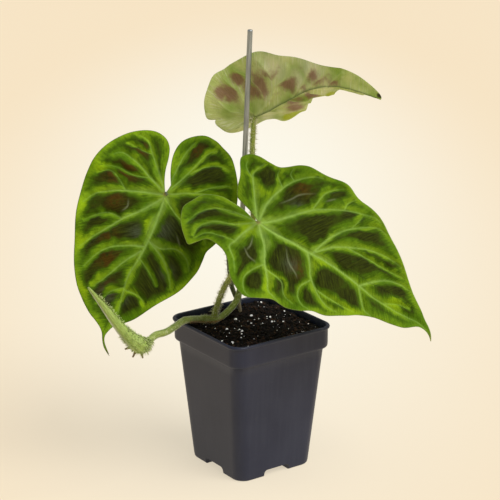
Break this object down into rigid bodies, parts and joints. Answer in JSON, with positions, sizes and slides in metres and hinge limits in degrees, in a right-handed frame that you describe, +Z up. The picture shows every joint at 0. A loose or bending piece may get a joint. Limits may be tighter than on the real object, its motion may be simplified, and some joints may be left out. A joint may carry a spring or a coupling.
{
  "type": "potted philodendron verrucosum",
  "caption": "Young climbing aroid in a square nursery pot: velvety heart-shaped leaves on bristly stalks, a stem that creeps over the rim to a new shoot, and a support stake.",
  "frame": {"origin": "middle of the whole outline, on the floor under the pot's feet", "axes": "+Z up, X and Y along the pot's sides; the plant faces between +X and -Y"},
  "size_m": [0.2596, 0.231, 0.3681],
  "materials": {
    "pot_plastic": "satin charcoal, injection moulded",
    "potting_mix": "moist dark peat and bark with white perlite",
    "stake_metal": "dull grey, drawn",
    "leaf_blade": "velvety green with dark patches between pale veins; paler and purple-brown beneath",
    "leaf_stalk": "olive, with dense pale bristles",
    "plant_stem": "smooth green with a fine pale bloom",
    "young_sheath": "pale grey-green, downy, shaggy at the base"
  },
  "bodies": {
    "root": {"pot": "pot_plastic", "soil": "potting_mix", "support_stake": "stake_metal", "leaf_left": "leaf_blade", "leaf_right": "leaf_blade", "leaf_top": "leaf_blade", "stem": "plant_stem", "petiole_left": "leaf_stalk", "petiole_right": "leaf_stalk", "petiole_top": "leaf_stalk", "new_shoot": "young_sheath"}
  },
  "joints": []
}
